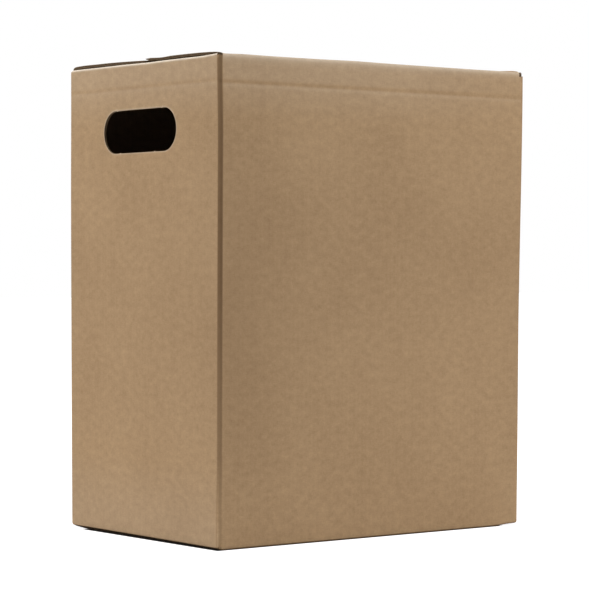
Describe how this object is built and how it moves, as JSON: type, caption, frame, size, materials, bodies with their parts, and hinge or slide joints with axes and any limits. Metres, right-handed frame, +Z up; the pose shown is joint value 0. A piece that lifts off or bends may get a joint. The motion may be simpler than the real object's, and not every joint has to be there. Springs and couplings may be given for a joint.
{
  "type": "six-bottle shipping box",
  "caption": "Tall corrugated shipping box for wine bottles, with hinged outer top flaps, hand holes in the short sides and a slotted cell divider inside.",
  "frame": {"origin": "middle of the box's underside, on the surface it stands on", "axes": "+X along the long walls, away from the hand hole in the picture; +Y from the front long wall to the back one; +Z up"},
  "size_m": [0.269, 0.183, 0.3274],
  "materials": {
    "kraft_board": "matt kraft liner on fluted board",
    "divider_board": "matt kraft liner on fluted board"
  },
  "bodies": {
    "box": {"box_body": "kraft_board", "long_divider": "divider_board", "cross_divider_1": "divider_board", "cross_divider_2": "divider_board"},
    "front_flap": {"front_top_flap": "kraft_board"},
    "back_flap": {"back_top_flap": "kraft_board"}
  },
  "joints": [
    {"name": "front_flap_fold", "type": "hinge", "parent": "box", "child": "front_flap", "pos_m": [0, -0.0915, 0.3246], "axis": [1, 0, 0], "range_deg": [0, 175]},
    {"name": "back_flap_fold", "type": "hinge", "parent": "box", "child": "back_flap", "pos_m": [0, 0.0915, 0.3246], "axis": [-1, 0, 0], "range_deg": [0, 175]}
  ]
}
